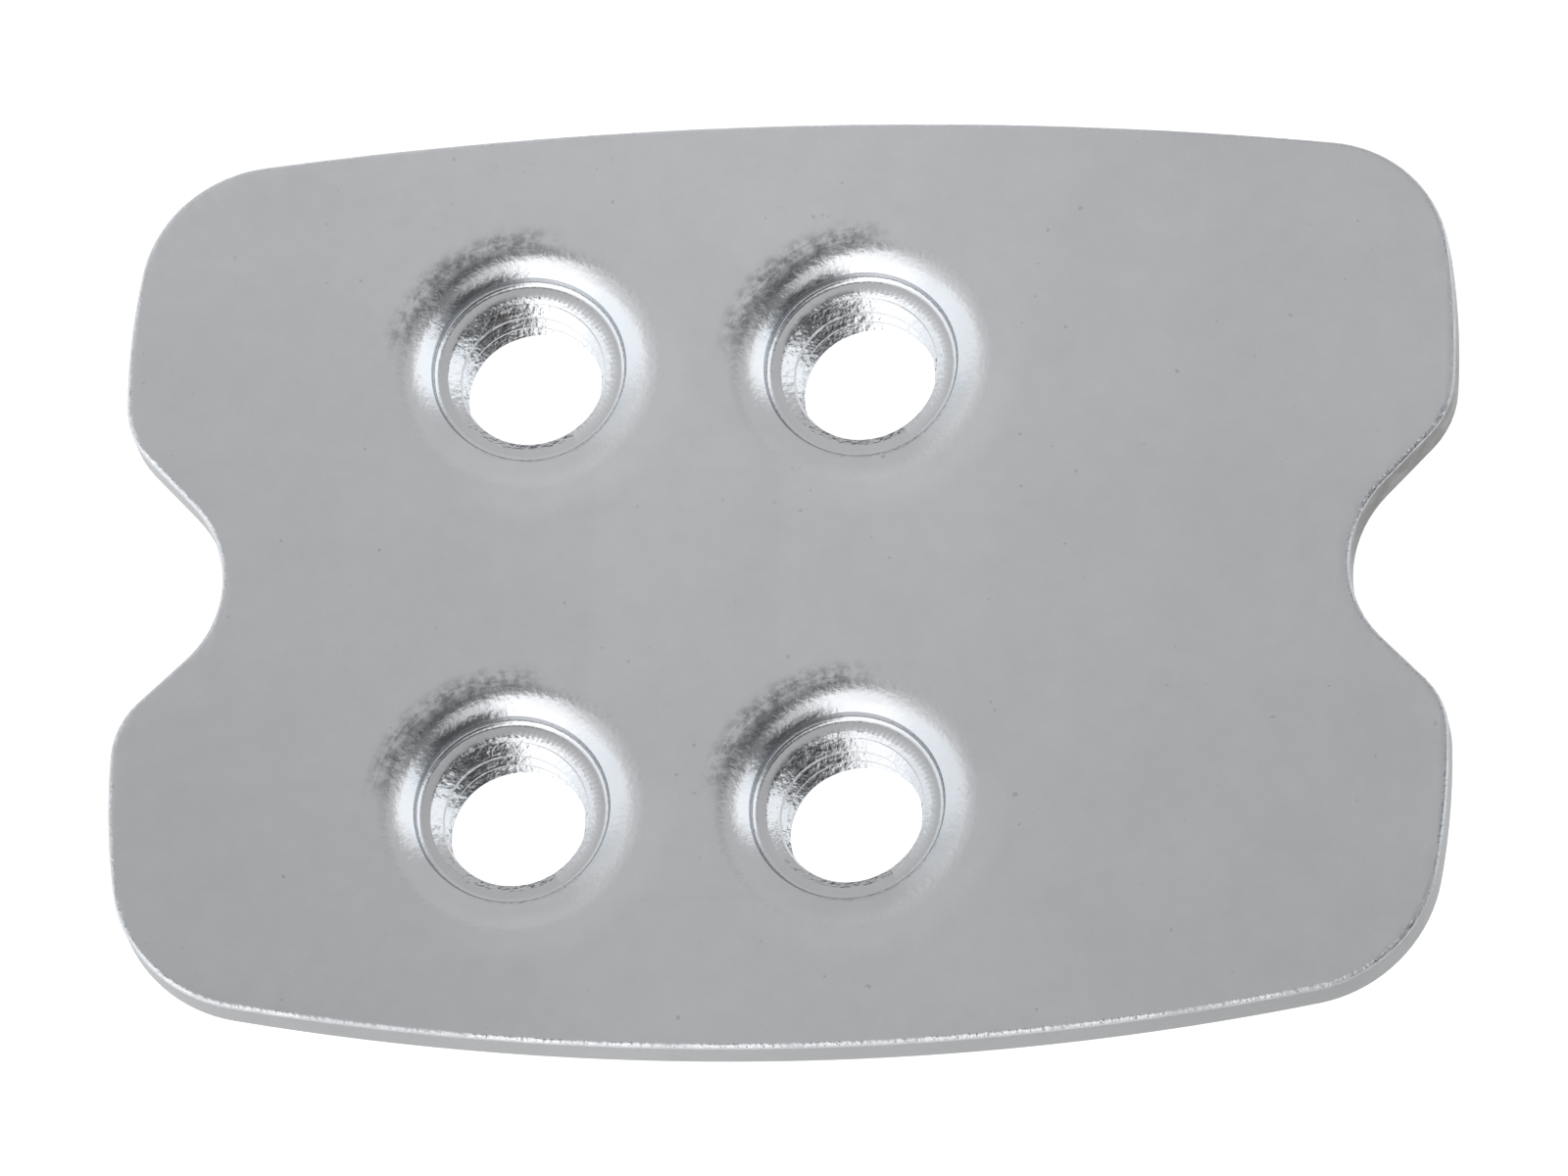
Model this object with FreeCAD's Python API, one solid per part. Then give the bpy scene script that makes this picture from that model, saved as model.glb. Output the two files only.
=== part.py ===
import FreeCAD, Part
import math
import os

# Threaded backing plate for a two-bolt bicycle cleat: one piece of sheet steel, blanked, with four
# threaded collars drawn out of it, then bent lengthwise to follow the sole of the shoe.
# Millimetres. X runs along the plate, Y across it, Z up towards the foot. The origin lies under the
# middle of the outline, in the plane of the four collar ends that the plate stands on.

# Sheet and outline
plate_length = 40.0
plate_width = 29.3
sheet_thickness = 1.4
bend_radius = 168.0
long_edge_radius = 103.0
corner_radius = 4.3
end_radius = 21.7
end_peak_spacing = 12.7
notch_depth = 3.1
notch_radius = 3.5
lobe_radius = 2.6
lobe_spacing = 11.3

# Bolt pattern, as its rows lie across the plate
row_spacing = 10.0
bolt_spacing = 14.0
pattern_offset = -3.0

# Threaded collars: an M5 thread below a rounded funnel that ends in a flat ring
thread_major = 5.0
thread_pitch = 0.8
ring_diameter = 5.82
countersink_depth = 0.3
lip_radius = 1.2
funnel_slope = 60.0
funnel_land = 0.05
bore_depth = 2.46
collar_wall = 1.2
collar_root_radius = 0.6
collar_root_overlap = 0.02

# Worked out from the sizes above
thread_minor = thread_major - 1.0825 * thread_pitch
collar_diameter = thread_minor + 2 * collar_wall
slope = math.radians(funnel_slope)
ring_depth = lip_radius * (1 - math.cos(slope)) + funnel_land
collar_height = ring_depth + bore_depth

# The bend has its lowest line under the middle of the bolt pattern, so the two rows lean alike.
row_tilt = math.asin(row_spacing / 2 / bend_radius)
bend_axis_z = (bend_radius + collar_height) * math.cos(row_tilt)

# Solids that cut or are cut away reach this far past the plate.
reach = plate_width / 2

UP = FreeCAD.Vector(0, 0, 1)
ACROSS = FreeCAD.Vector(0, 1, 0)


def circle_inside(centre_a, radius_a, centre_b, radius_b, radius):
    """Centre of a circle that touches two larger circles from inside, on the side away from the origin."""
    reach_a = radius_a - radius
    reach_b = radius_b - radius
    apart = centre_b - centre_a
    along = (reach_a ** 2 - reach_b ** 2 + apart.Length ** 2) / (2 * apart.Length)
    off = math.sqrt(reach_a ** 2 - along ** 2)
    direction = apart / apart.Length
    side = FreeCAD.Vector(-direction.y, direction.x, 0)
    ends = [centre_a + direction * along + side * off, centre_a + direction * along - side * off]
    return max(ends, key=lambda end: end.x + end.y)


def on_circle(centre, towards, radius):
    """Point of a circle in the direction of another point."""
    direction = towards - centre
    return centre + direction / direction.Length * radius


def short_arc(centre, start, end):
    """The shorter arc about a centre from one point to another."""
    middle = on_circle(centre, (start + end) / 2, (start - centre).Length)
    return Part.Arc(start, middle, end).toShape()


def quarter_outline():
    """Edges of the outline in the quarter where X and Y are positive."""
    top = FreeCAD.Vector(0, plate_width / 2, 0)
    long_centre = top - FreeCAD.Vector(0, long_edge_radius, 0)
    end_centre = FreeCAD.Vector(plate_length / 2 - end_radius, end_peak_spacing / 2, 0)
    corner_centre = circle_inside(long_centre, long_edge_radius, end_centre, end_radius, corner_radius)
    lobe_y = lobe_spacing / 2
    lobe_reach = end_radius - lobe_radius
    lobe_x = end_centre.x + math.sqrt(lobe_reach ** 2 - (lobe_y - end_centre.y) ** 2)
    lobe_centre = FreeCAD.Vector(lobe_x, lobe_y, 0)
    notch_bottom = FreeCAD.Vector(plate_length / 2 - notch_depth, 0, 0)
    notch_centre = notch_bottom + FreeCAD.Vector(notch_radius, 0, 0)

    # The flank is the line that touches the lobe and the notch on opposite sides.
    apart = notch_centre - lobe_centre
    turn = math.acos((lobe_radius + notch_radius) / apart.Length)
    heading = math.atan2(apart.y, apart.x) + turn
    normal = FreeCAD.Vector(math.cos(heading), math.sin(heading), 0)
    flank_out = lobe_centre + normal * lobe_radius
    flank_in = notch_centre - normal * notch_radius

    long_end = on_circle(long_centre, corner_centre, long_edge_radius)
    corner_end = on_circle(end_centre, corner_centre, end_radius)
    lobe_start = on_circle(end_centre, lobe_centre, end_radius)
    return [
        short_arc(long_centre, top, long_end),
        short_arc(corner_centre, long_end, corner_end),
        short_arc(end_centre, corner_end, lobe_start),
        short_arc(lobe_centre, lobe_start, flank_out),
        Part.LineSegment(flank_out, flank_in).toShape(),
        short_arc(notch_centre, flank_in, notch_bottom),
    ]


def outline():
    """The whole outline, the same in its four quarters."""
    origin = FreeCAD.Vector(0, 0, 0)
    along = FreeCAD.Vector(1, 0, 0)
    quarter = quarter_outline()
    half = quarter + [edge.mirror(origin, along) for edge in quarter]
    edges = half + [edge.mirror(origin, ACROSS) for edge in half]
    return Part.Wire(Part.__sortEdges__(edges))


def bent_plate():
    """The blanked sheet, bent about an axis that runs across it."""
    blank = Part.Face(outline())
    blank.translate(-UP * reach)
    prism = blank.extrude(UP * (2 * reach))
    axis_start = FreeCAD.Vector(pattern_offset, -plate_width, bend_axis_z)
    outer = Part.makeCylinder(bend_radius + sheet_thickness, 2 * plate_width, axis_start, ACROSS)
    inner = Part.makeCylinder(bend_radius, 2 * plate_width, axis_start, ACROSS)
    return prism.common(outer).cut(inner)


def hole_frames():
    """Where each collar's axis meets the upper face, square to the bent sheet."""
    frames = []
    for row in (-1, 1):
        for side in (-1, 1):
            x = pattern_offset + row * row_spacing / 2
            y = side * bolt_spacing / 2
            lean = math.degrees(-row * row_tilt)
            turn = FreeCAD.Rotation(ACROSS, lean)
            height = bend_axis_z - bend_radius * math.cos(row_tilt)
            frames.append(FreeCAD.Placement(FreeCAD.Vector(x, y, height), turn))
    return frames


def turned(edges):
    """A solid turned about Z from the edges of its half section."""
    return Part.Face(Part.Wire(edges)).revolve(FreeCAD.Vector(0, 0, 0), UP, 360)


def straight_edges(points):
    """Edges through points of a half section, each given as a radius and a height."""
    corners = [FreeCAD.Vector(radius, 0, height) for radius, height in points]
    return [Part.LineSegment(start, end).toShape() for start, end in zip(corners, corners[1:])]


def collar():
    """The outside of a collar, flared into the lower face and left long, to be levelled later."""
    radius = collar_diameter / 2
    rim_radius = radius + collar_root_radius
    # The bend lifts the lower face beside the collar, and the flare's rim is set in past that.
    lift = rim_radius ** 2 / (2 * bend_radius)
    rim_height = lift + collar_root_overlap - sheet_thickness
    waist_height = rim_height - collar_root_radius
    centre = FreeCAD.Vector(rim_radius, 0, waist_height)
    waist = FreeCAD.Vector(radius, 0, waist_height)
    rim = FreeCAD.Vector(rim_radius, 0, rim_height)
    rest = straight_edges([
        (rim_radius, rim_height),
        (0, rim_height),
        (0, -collar_height - reach),
        (radius, -collar_height - reach),
        (radius, waist_height),
    ])
    return turned([short_arc(centre, waist, rim)] + rest)


def bore():
    """What the funnel, the flat ring, the countersink and the tapped bore take away."""
    ring_radius = ring_diameter / 2
    minor_radius = thread_minor / 2
    return turned(straight_edges([
        (0, reach),
        (ring_radius + (ring_depth + reach) / math.tan(slope), reach),
        (ring_radius, -ring_depth),
        (thread_major / 2, -ring_depth),
        (minor_radius, -ring_depth - countersink_depth),
        (minor_radius, -collar_height - reach),
        (0, -collar_height - reach),
        (0, reach),
    ]))


def lip_edge(plate, frame):
    """The edge where a collar's funnel meets the upper face."""
    radius = ring_diameter / 2 + ring_depth / math.tan(slope)
    to_collar = frame.inverse()

    def off_the_lip(edge):
        first, last = edge.ParameterRange
        point = to_collar.multVec(edge.valueAt((first + last) / 2))
        return math.hypot(math.hypot(point.x, point.y) - radius, point.z)

    return min(plate.Edges, key=off_the_lip)


def threaded_plate():
    """The finished plate."""
    plate = bent_plate()
    frames = hole_frames()
    for frame in frames:
        plate = plate.fuse(collar().transformed(frame.toMatrix()))

    # The collar ends are levelled to one plane, which the plate stands on.
    below = Part.makeBox(2 * plate_length, 2 * plate_width, 2 * reach)
    below.translate(FreeCAD.Vector(-plate_length, -plate_width, -2 * reach))
    plate = plate.cut(below)

    for frame in frames:
        plate = plate.cut(bore().transformed(frame.toMatrix()))
    for frame in frames:
        plate = plate.makeFillet(lip_radius, [lip_edge(plate, frame)])
    return plate


os.makedirs("parts", exist_ok=True)
threaded_plate().exportStep("parts/threaded_plate.step")
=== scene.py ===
import math

import bmesh
import bpy
from bpy.props import FloatProperty, FloatVectorProperty, IntProperty, PointerProperty
from mathutils import Matrix, Vector


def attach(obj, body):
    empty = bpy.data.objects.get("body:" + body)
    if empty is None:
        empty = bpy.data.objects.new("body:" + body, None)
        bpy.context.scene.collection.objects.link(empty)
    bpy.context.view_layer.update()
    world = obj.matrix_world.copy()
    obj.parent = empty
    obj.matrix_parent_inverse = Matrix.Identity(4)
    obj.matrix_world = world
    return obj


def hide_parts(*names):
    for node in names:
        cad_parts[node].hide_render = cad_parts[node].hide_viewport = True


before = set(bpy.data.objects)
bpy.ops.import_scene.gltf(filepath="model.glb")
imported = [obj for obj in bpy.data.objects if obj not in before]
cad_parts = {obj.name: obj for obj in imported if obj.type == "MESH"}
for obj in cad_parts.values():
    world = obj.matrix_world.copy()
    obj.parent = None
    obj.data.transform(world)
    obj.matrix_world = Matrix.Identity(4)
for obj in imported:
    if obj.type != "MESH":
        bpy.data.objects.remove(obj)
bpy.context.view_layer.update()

bl_info = {
    "name": "Threaded cleat backing plate",
    "version": (1, 0, 0),
    "blender": (4, 5, 0),
    "location": "3D View > Sidebar > Backing plate",
    "description": "Stamped and tapped plate that takes the bolts of a cycling cleat inside a shoe sole",
    "category": "Object",
}

# Pieces are modelled in millimetres and brought to metres when they are done.
MM = 1000.0

# Millimetres. Points closer than WELD are one point and heights closer than LEVEL are one height. SLACK
# tells one radius from the next.
WELD = 0.0005
LEVEL = 0.001
SLACK = 0.01

# Millimetres. Segments of the outline, along the long edges and in its smaller arcs.
LONG_STEP = 1.0
ARC_STEP = 0.3

# How many segments an arc of a collar's half section has.
BRIM_STEPS = 5
LIP_STEPS = 12
FILLET_STEPS = 6

# Millimetres. The flat margin round a collar's mouth and root, how far its ring reaches into the hole before
# that is bored, what levelling takes off its end, the bevel of that end, and how far a cutter reaches out.
MARGIN = 0.15
RING_INSET = 0.3
SPARE = 0.4
END_BEVEL = 0.1
OVER = 0.1

# The thread's groove: half its width at the tapping hole as a share of the pitch, and its flanks' slope. In
# millimetres: how far it starts inside the hole, how blunt its bottom is, and its start above the ring.
GROOVE_SHARE = 0.45
FLANK = math.radians(30)
GROOVE_INSET = 0.12
GROOVE_BLUNT = 0.02
GROOVE_START = 0.25
THREAD_TURNS = 4
THREAD_STEPS = 64

# Cuts across the plate that let it bend, the share of its length that they span, and the angle from which
# an edge stays sharp.
BEND_CUTS = 90
CUT_SPAN = 1.01
SHARP = math.radians(32)

# Noises of the metal's skin: scale, detail and roughness.
CLOUDS = (260, 4, 0.6)
MOTTLE = (1500, 4, 0.6)
BLOTS = (2600, 4, 0.7)
SPECKS = (3400, 1, 0.4)
GRAIN = (9000, 3, 0.6)
DIMPLES = (6000, 2, 0.5)
# This noise breaks up the painted shade in one notch.
NOTCH_SHADE = (900, 3, 0.6)
RIM_WEAR = (420, 3, 0.6)

# Marks of the draw punch are noise on the angle and the radius, stretched by these.
DRAG = (1.0, 3, 0.6)
DRAG_PER_ANGLE = 1.6
DRAG_PER_METRE = 9000.0

# Metres from a collar's axis: the painted shade outside each funnel, the painted light beside it, the painted
# shade inside each bore and the end of the funnel's polish. A ring of marks is gone below the first, full
# between the next two and gone above the last. The other ranges run from where a mark is missing to where it
# is full.
SHADE_RING = (0.0034, 0.0038, 0.0040, 0.0046)
PAINTED_LIGHT_RING = (0.0033, 0.0038, 0.0043, 0.0052)
BORE_SHADE = (0.0026, 0.00245)
POLISH_END = (0.0035, 0.0040)

# The side of each collar on which the painted shade lies, along and across the plate: towards its far left
# corner.
SHADE_SIDE = (-0.61, 0.79)

# Metres above the floor where the painted shade of the upper face and of the bores sets in.
UPPER_SIDE = (0.0020, 0.0024)
ABOVE_COLLAR_END = (0.0004, 0.0012)

# Metres along and across the plate that the painted shade on one flank of a notch covers.
SHADED_NOTCH_ALONG = (0.0150, 0.0168)
SHADED_NOTCH_ACROSS = (-0.0005, 0.0010, 0.0060, 0.0090)

# How much of the duller tone the clouds bring in, and the depth of the finest relief in metres.
CLOUD_SHARE = 0.25
RELIEF_DEPTH = 0.00001

# The floor lies this far below the collar ends, in metres, and glows this much. The sensor is in millimetres.
FLOOR_GAP = 0.00001
FLOOR_GLOW = 0.95
SENSOR = 36

# Z of a direction: where the walls give way to the ceiling, and how the light close to the horizon comes in.
WALL_TOP = (0.88, 0.74)
HORIZON = (0.55, 0.30, 0.0, 0.75)

# A dimmer gap overhead: where it lies, how wide it is and how bright.
GAP_WAY = (0.05, 0.05, 0.997)
GAP_INNER = math.radians(10)
GAP_OUTER = math.radians(20)
GAP_LEVEL = 0.35

# X of a direction, to either side, where the tint of the side light comes in.
SIDES = (0.5, 0.8)

# How bright the studio is all round, as half levels against the share of a turn: 0 and 1 are behind the
# camera, 0.25 the left, 0.5 the far side and 0.75 the right. The walls are low, the ceiling is above them.
WALLS = (
    (0.02, 0.95), (0.10, 1.0), (0.22, 0.80), (0.30, 0.74), (0.37, 0.52), (0.43, 0.40), (0.60, 0.39),
    (0.665, 0.85), (0.73, 0.80), (0.775, 0.20), (0.83, 0.05), (0.95, 0.07), (0.985, 0.5),
)
CEILING = (
    (0.02, 0.95), (0.12, 0.85), (0.28, 0.48), (0.37, 0.42), (0.45, 0.40), (0.66, 0.40), (0.71, 0.20),
    (0.755, 0.12), (0.80, 0.16), (0.85, 0.36), (0.89, 0.50), (0.94, 0.50), (0.98, 0.85),
)


class PlateSizes(bpy.types.PropertyGroup):
    """Sizes of the sheet, its outline and its bend."""
    length: FloatProperty(name="Length", description="Along the shoe", default=0.03999, unit="LENGTH")
    width: FloatProperty(name="Width", description="Across the shoe", default=0.02929, unit="LENGTH")
    thickness: FloatProperty(
        name="Sheet", description="Thickness of the sheet", default=0.0014, unit="LENGTH")
    bend_radius: FloatProperty(
        name="Bend", description="Radius of the upper face", default=0.168, unit="LENGTH")
    long_edge_radius: FloatProperty(
        name="Long edges", description="Radius of the long edges", default=0.103, unit="LENGTH")
    corner_radius: FloatProperty(
        name="Corners", description="Radius of the corners", default=0.0043, unit="LENGTH")
    end_radius: FloatProperty(
        name="Ends", description="Radius of each half of an end", default=0.0217, unit="LENGTH")
    end_peak_spacing: FloatProperty(
        name="End peaks", description="Between the furthest points of an end", default=0.0127, unit="LENGTH")
    notch_depth: FloatProperty(
        name="Notch depth", description="Depth of the notch in each end", default=0.0031, unit="LENGTH")
    notch_radius: FloatProperty(
        name="Notch", description="Radius of the notch's bottom", default=0.0035, unit="LENGTH")
    lobe_radius: FloatProperty(
        name="Lobes", description="Radius of the lobes beside a notch", default=0.0026, unit="LENGTH")
    lobe_spacing: FloatProperty(
        name="Lobe spacing", description="Between the centres of an end's lobes", default=0.0113,
        unit="LENGTH")
    edge_radius: FloatProperty(
        name="Edge", description="Rounding of the rim, above and below", default=0.00014, unit="LENGTH")


class HoleSizes(bpy.types.PropertyGroup):
    """Sizes of the four threaded collars and where they stand."""
    row_spacing: FloatProperty(name="Rows", description="Between the rows", default=0.010, unit="LENGTH")
    bolt_spacing: FloatProperty(
        name="Bolts", description="Between the two bolts of a row", default=0.014, unit="LENGTH")
    offset: FloatProperty(
        name="Offset", description="Middle of the bolt pattern along the plate", default=-0.003,
        unit="LENGTH")
    major: FloatProperty(
        name="Thread", description="Outer diameter of the thread", default=0.005, unit="LENGTH")
    minor: FloatProperty(
        name="Tapping hole", description="Inner diameter of the thread", default=0.004134, unit="LENGTH")
    pitch: FloatProperty(name="Pitch", description="Pitch of the thread", default=0.0008, unit="LENGTH")
    ring_diameter: FloatProperty(
        name="Ring", description="Outer diameter of the flat ring", default=0.00582, unit="LENGTH")
    ring_depth: FloatProperty(
        name="Ring depth", description="Flat ring below the upper face", default=0.00065, unit="LENGTH")
    mouth_diameter: FloatProperty(
        name="Mouth", description="Inner edge of the flat ring", default=0.0049, unit="LENGTH")
    throat_diameter: FloatProperty(
        name="Throat", description="Bore below the rounded mouth", default=0.00454, unit="LENGTH")
    throat_depth: FloatProperty(
        name="Throat depth", description="From the ring to the throat", default=0.0001, unit="LENGTH")
    lead_depth: FloatProperty(
        name="Lead", description="From the ring to where the full thread starts", default=0.0007,
        unit="LENGTH")
    lip_radius: FloatProperty(
        name="Lip", description="Rounding of the funnel's lip", default=0.0018, unit="LENGTH")
    brim_radius: FloatProperty(
        name="Brim", description="Softer rounding outside the lip", default=0.0020, unit="LENGTH")
    brim_slope: FloatProperty(
        name="Brim slope", description="Slope where the brim turns into the lip", default=math.radians(10),
        subtype="ANGLE")
    funnel_slope: FloatProperty(
        name="Funnel", description="Slope where the lip ends", default=math.radians(35), subtype="ANGLE")
    coin_slope: FloatProperty(
        name="Coined step", description="Slope of the step down to the ring", default=math.radians(80),
        subtype="ANGLE")
    coin_fillet: FloatProperty(
        name="Coined fillet", description="Fillet at the foot of that step", default=0.0002, unit="LENGTH")
    bore_depth: FloatProperty(
        name="Bore", description="From the ring to the collar's end", default=0.00246, unit="LENGTH")
    collar_wall: FloatProperty(
        name="Collar wall", description="Wall outside the tapping hole", default=0.0012, unit="LENGTH")
    root_radius: FloatProperty(
        name="Collar root", description="Fillet between collar and sheet", default=0.0006, unit="LENGTH")
    end_chamfer: FloatProperty(
        name="Chamfer", description="Chamfer where the thread leaves the collar", default=0.0002,
        unit="LENGTH")
    segments: IntProperty(name="Segments", description="Steps round a hole", default=96)


class PlateColours(bpy.types.PropertyGroup):
    """Colours of the zinc and of the studio."""
    zinc: FloatVectorProperty(
        name="Zinc", description="Satin zinc", subtype="COLOR", size=3, default=(0.58, 0.59, 0.608))
    dulling: FloatProperty(
        name="Dulling", description="How bright duller patches are beside the rest", default=0.83,
        subtype="FACTOR")
    # Colour of the pin specks, and of the painted shade round the collars, in the bores and in one notch.
    grime_and_shade: FloatVectorProperty(
        name="Grime and shade", description="Dark grime and pin specks", subtype="COLOR", size=3,
        default=(0.17, 0.167, 0.163))
    sheared: FloatVectorProperty(
        name="Sheared metal", description="Wall left by the blanking die", subtype="COLOR", size=3,
        default=(0.40, 0.405, 0.41))
    side_light: FloatVectorProperty(
        name="Side light", description="Tint of the light from both sides", subtype="COLOR", size=3,
        default=(0.93, 0.97, 1.0))
    floor: FloatVectorProperty(
        name="Floor", description="Matt surface of the floor", subtype="COLOR", size=3,
        default=(0.3, 0.3, 0.3))


class StageSizes(bpy.types.PropertyGroup):
    """Where the camera stands, and its lens."""
    azimuth: FloatProperty(
        name="Azimuth", description="Round the plate, from straight along Y", default=math.radians(19.777),
        subtype="ANGLE")
    elevation: FloatProperty(
        name="Elevation", description="Above the floor", default=math.radians(68.354), subtype="ANGLE")
    roll: FloatProperty(
        name="Roll", description="Round its own axis", default=math.radians(-19.275), subtype="ANGLE")
    distance: FloatProperty(name="Distance", description="From the target", default=0.47241, unit="LENGTH")
    target: FloatVectorProperty(
        name="Target", description="Point in the middle of the picture", size=3, subtype="TRANSLATION",
        default=(-0.0000495, -0.0002199, 0.00305))
    lens: FloatProperty(name="Lens", description="Focal length on a 36 mm sensor", default=364.9)
    floor_size: FloatProperty(name="Floor", description="Side of the floor", default=3.0, unit="LENGTH")


def only(piece):
    """Makes one object the active one and the only one selected."""
    bpy.ops.object.select_all(action="DESELECT")
    piece.select_set(True)
    bpy.context.view_layer.objects.active = piece


def edit(piece):
    """Opens one object in edit mode."""
    only(piece)
    bpy.ops.object.mode_set(mode="EDIT")


def leave():
    """Goes back to object mode."""
    bpy.ops.object.mode_set(mode="OBJECT")


def choose(piece, kind, test):
    """Selects the vertices, edges or faces that pass a test, and nothing else."""
    bpy.ops.mesh.select_mode(type=kind)
    bpy.ops.mesh.select_all(action="DESELECT")
    shape = bmesh.from_edit_mesh(piece.data)
    shape.normal_update()
    parts = {"VERT": shape.verts, "EDGE": shape.edges, "FACE": shape.faces}[kind]
    for part in parts:
        if test(part):
            part.select_set(True)
    bmesh.update_edit_mesh(piece.data)


def corners(part):
    """Places of an edge's or face's corners."""
    return [corner.co for corner in part.verts]


def weld():
    """Merges the points of the open mesh that fall together."""
    bpy.ops.mesh.select_all(action="SELECT")
    bpy.ops.mesh.remove_doubles(threshold=WELD)


def face_outwards():
    """Turns all faces of the open mesh outwards."""
    bpy.ops.mesh.select_all(action="SELECT")
    bpy.ops.mesh.normals_make_consistent(inside=False)


def paint(piece, number):
    """Gives the chosen faces one of the piece's materials."""
    piece.active_material_index = number
    bpy.ops.object.material_slot_assign()


def start_vertex(name, place):
    """A mesh that starts as one vertex, open in edit mode."""
    bpy.ops.object.select_all(action="DESELECT")
    bpy.ops.mesh.primitive_plane_add(size=1, location=place)
    piece = bpy.context.object
    piece.name = name
    piece.data.name = name
    edit(piece)
    bpy.ops.mesh.select_mode(type="VERT")
    bpy.ops.mesh.select_all(action="SELECT")
    bpy.ops.mesh.merge(type="CENTER")
    return piece


def line_to(start, end):
    """Draws a line from the selected vertex."""
    bpy.ops.mesh.extrude_region_move(TRANSFORM_OT_translate={"value": Vector(end) - Vector(start)})
    return Vector(end)


def arc_to(centre, start, end, axis, step):
    """Draws an arc from the selected vertex about a centre, clockwise as seen against the axis."""
    first, last = Vector(start) - Vector(centre), Vector(end) - Vector(centre)
    angle = first.angle(last)
    steps = max(2, round(first.length * angle / step))
    bpy.ops.mesh.spin(steps=steps, angle=angle, center=centre, axis=axis)
    return Vector(end)


def turn_round(piece, segments):
    """Turns a half section about Z, and leaves it open in edit mode."""
    edit(piece)
    bpy.ops.mesh.select_all(action="SELECT")
    bpy.ops.mesh.spin(steps=segments, angle=math.tau, center=(0, 0, 0), axis=(0, 0, 1))
    weld()


def apply(piece, kind, **values):
    """Adds a modifier with these values and applies it."""
    only(piece)
    modifier = piece.modifiers.new(kind.title(), kind)
    for key, value in values.items():
        setattr(modifier, key, value)
    bpy.ops.object.modifier_apply(modifier=modifier.name)


def settle(piece):
    """Brings an object's place, turn and scale into its mesh."""
    only(piece)
    bpy.ops.object.transform_apply(location=True, rotation=True, scale=True)


def join(piece, others):
    """Joins other objects into a piece."""
    only(piece)
    for other in others:
        other.select_set(True)
    bpy.ops.object.join()


def copies(piece, places):
    """Copies of a piece, each with its own mesh, turned and moved to each place."""
    made = []
    for place, turn in places:
        only(piece)
        bpy.ops.object.duplicate()
        made.append(bpy.context.object)
        made[-1].rotation_euler = (0, turn, 0)
        made[-1].location = place
        settle(made[-1])
    only(piece)
    bpy.ops.object.delete()
    return made


def circle_inside(centre_a, radius_a, centre_b, radius_b, radius):
    """Centre of a circle that touches two larger ones from inside, on the side away from the origin."""
    reach_a, reach_b = radius_a - radius, radius_b - radius
    apart = centre_b - centre_a
    along = (reach_a ** 2 - reach_b ** 2 + apart.length ** 2) / (2 * apart.length)
    off = math.sqrt(reach_a ** 2 - along ** 2)
    direction = apart.normalized()
    side = Vector((-direction.y, direction.x, 0))
    ends = [centre_a + direction * along + side * way for way in (off, -off)]
    return max(ends, key=lambda end: end.x + end.y)


def millimetres(sizes):
    """The lengths of a group of sizes in millimetres, and its angles and counts as they are."""
    found = {}
    for key in sizes.bl_rna.properties.keys():
        if key in ("rna_type", "name"):
            continue
        scale = MM if sizes.bl_rna.properties[key].unit == "LENGTH" else 1
        found[key] = getattr(sizes, key) * scale
    return found


def draw_outline(plate):
    """The outline of the plate as a closed wire, the same in its four quarters."""
    half_length = plate["length"] / 2
    long_edge, end = plate["long_edge_radius"], plate["end_radius"]
    lobe, notch = plate["lobe_radius"], plate["notch_radius"]
    top = Vector((0, plate["width"] / 2, 0))
    long_centre = top - Vector((0, long_edge, 0))
    end_centre = Vector((half_length - end, plate["end_peak_spacing"] / 2, 0))
    corner_centre = circle_inside(long_centre, long_edge, end_centre, end, plate["corner_radius"])
    lobe_y = plate["lobe_spacing"] / 2
    lobe_x = end_centre.x + math.sqrt((end - lobe) ** 2 - (lobe_y - end_centre.y) ** 2)
    lobe_centre = Vector((lobe_x, lobe_y, 0))
    notch_bottom = Vector((half_length - plate["notch_depth"], 0, 0))
    notch_centre = notch_bottom + Vector((notch, 0, 0))
    # The flank is the line that touches the lobe and the notch on opposite sides.
    apart = notch_centre - lobe_centre
    heading = math.atan2(apart.y, apart.x) + math.acos((lobe + notch) / apart.length)
    normal = Vector((math.cos(heading), math.sin(heading), 0))
    flank_out = lobe_centre + normal * lobe
    flank_in = notch_centre - normal * notch
    long_end = long_centre + (corner_centre - long_centre).normalized() * long_edge
    corner_end = end_centre + (corner_centre - end_centre).normalized() * end
    lobe_start = end_centre + (lobe_centre - end_centre).normalized() * end

    clockwise, back = (0, 0, 1), (0, 0, -1)
    outline = start_vertex("backing_plate", top)
    at = arc_to(long_centre, top, long_end, clockwise, LONG_STEP)
    at = arc_to(corner_centre, at, corner_end, clockwise, ARC_STEP)
    at = arc_to(end_centre, at, lobe_start, clockwise, 2 * ARC_STEP)
    at = arc_to(lobe_centre, at, flank_out, clockwise, ARC_STEP)
    at = line_to(at, flank_in)
    arc_to(notch_centre, at, notch_bottom, back, ARC_STEP)
    leave()
    settle(outline)
    apply(outline, "MIRROR", use_axis=(True, True, False), merge_threshold=LEVEL)
    return outline


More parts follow.
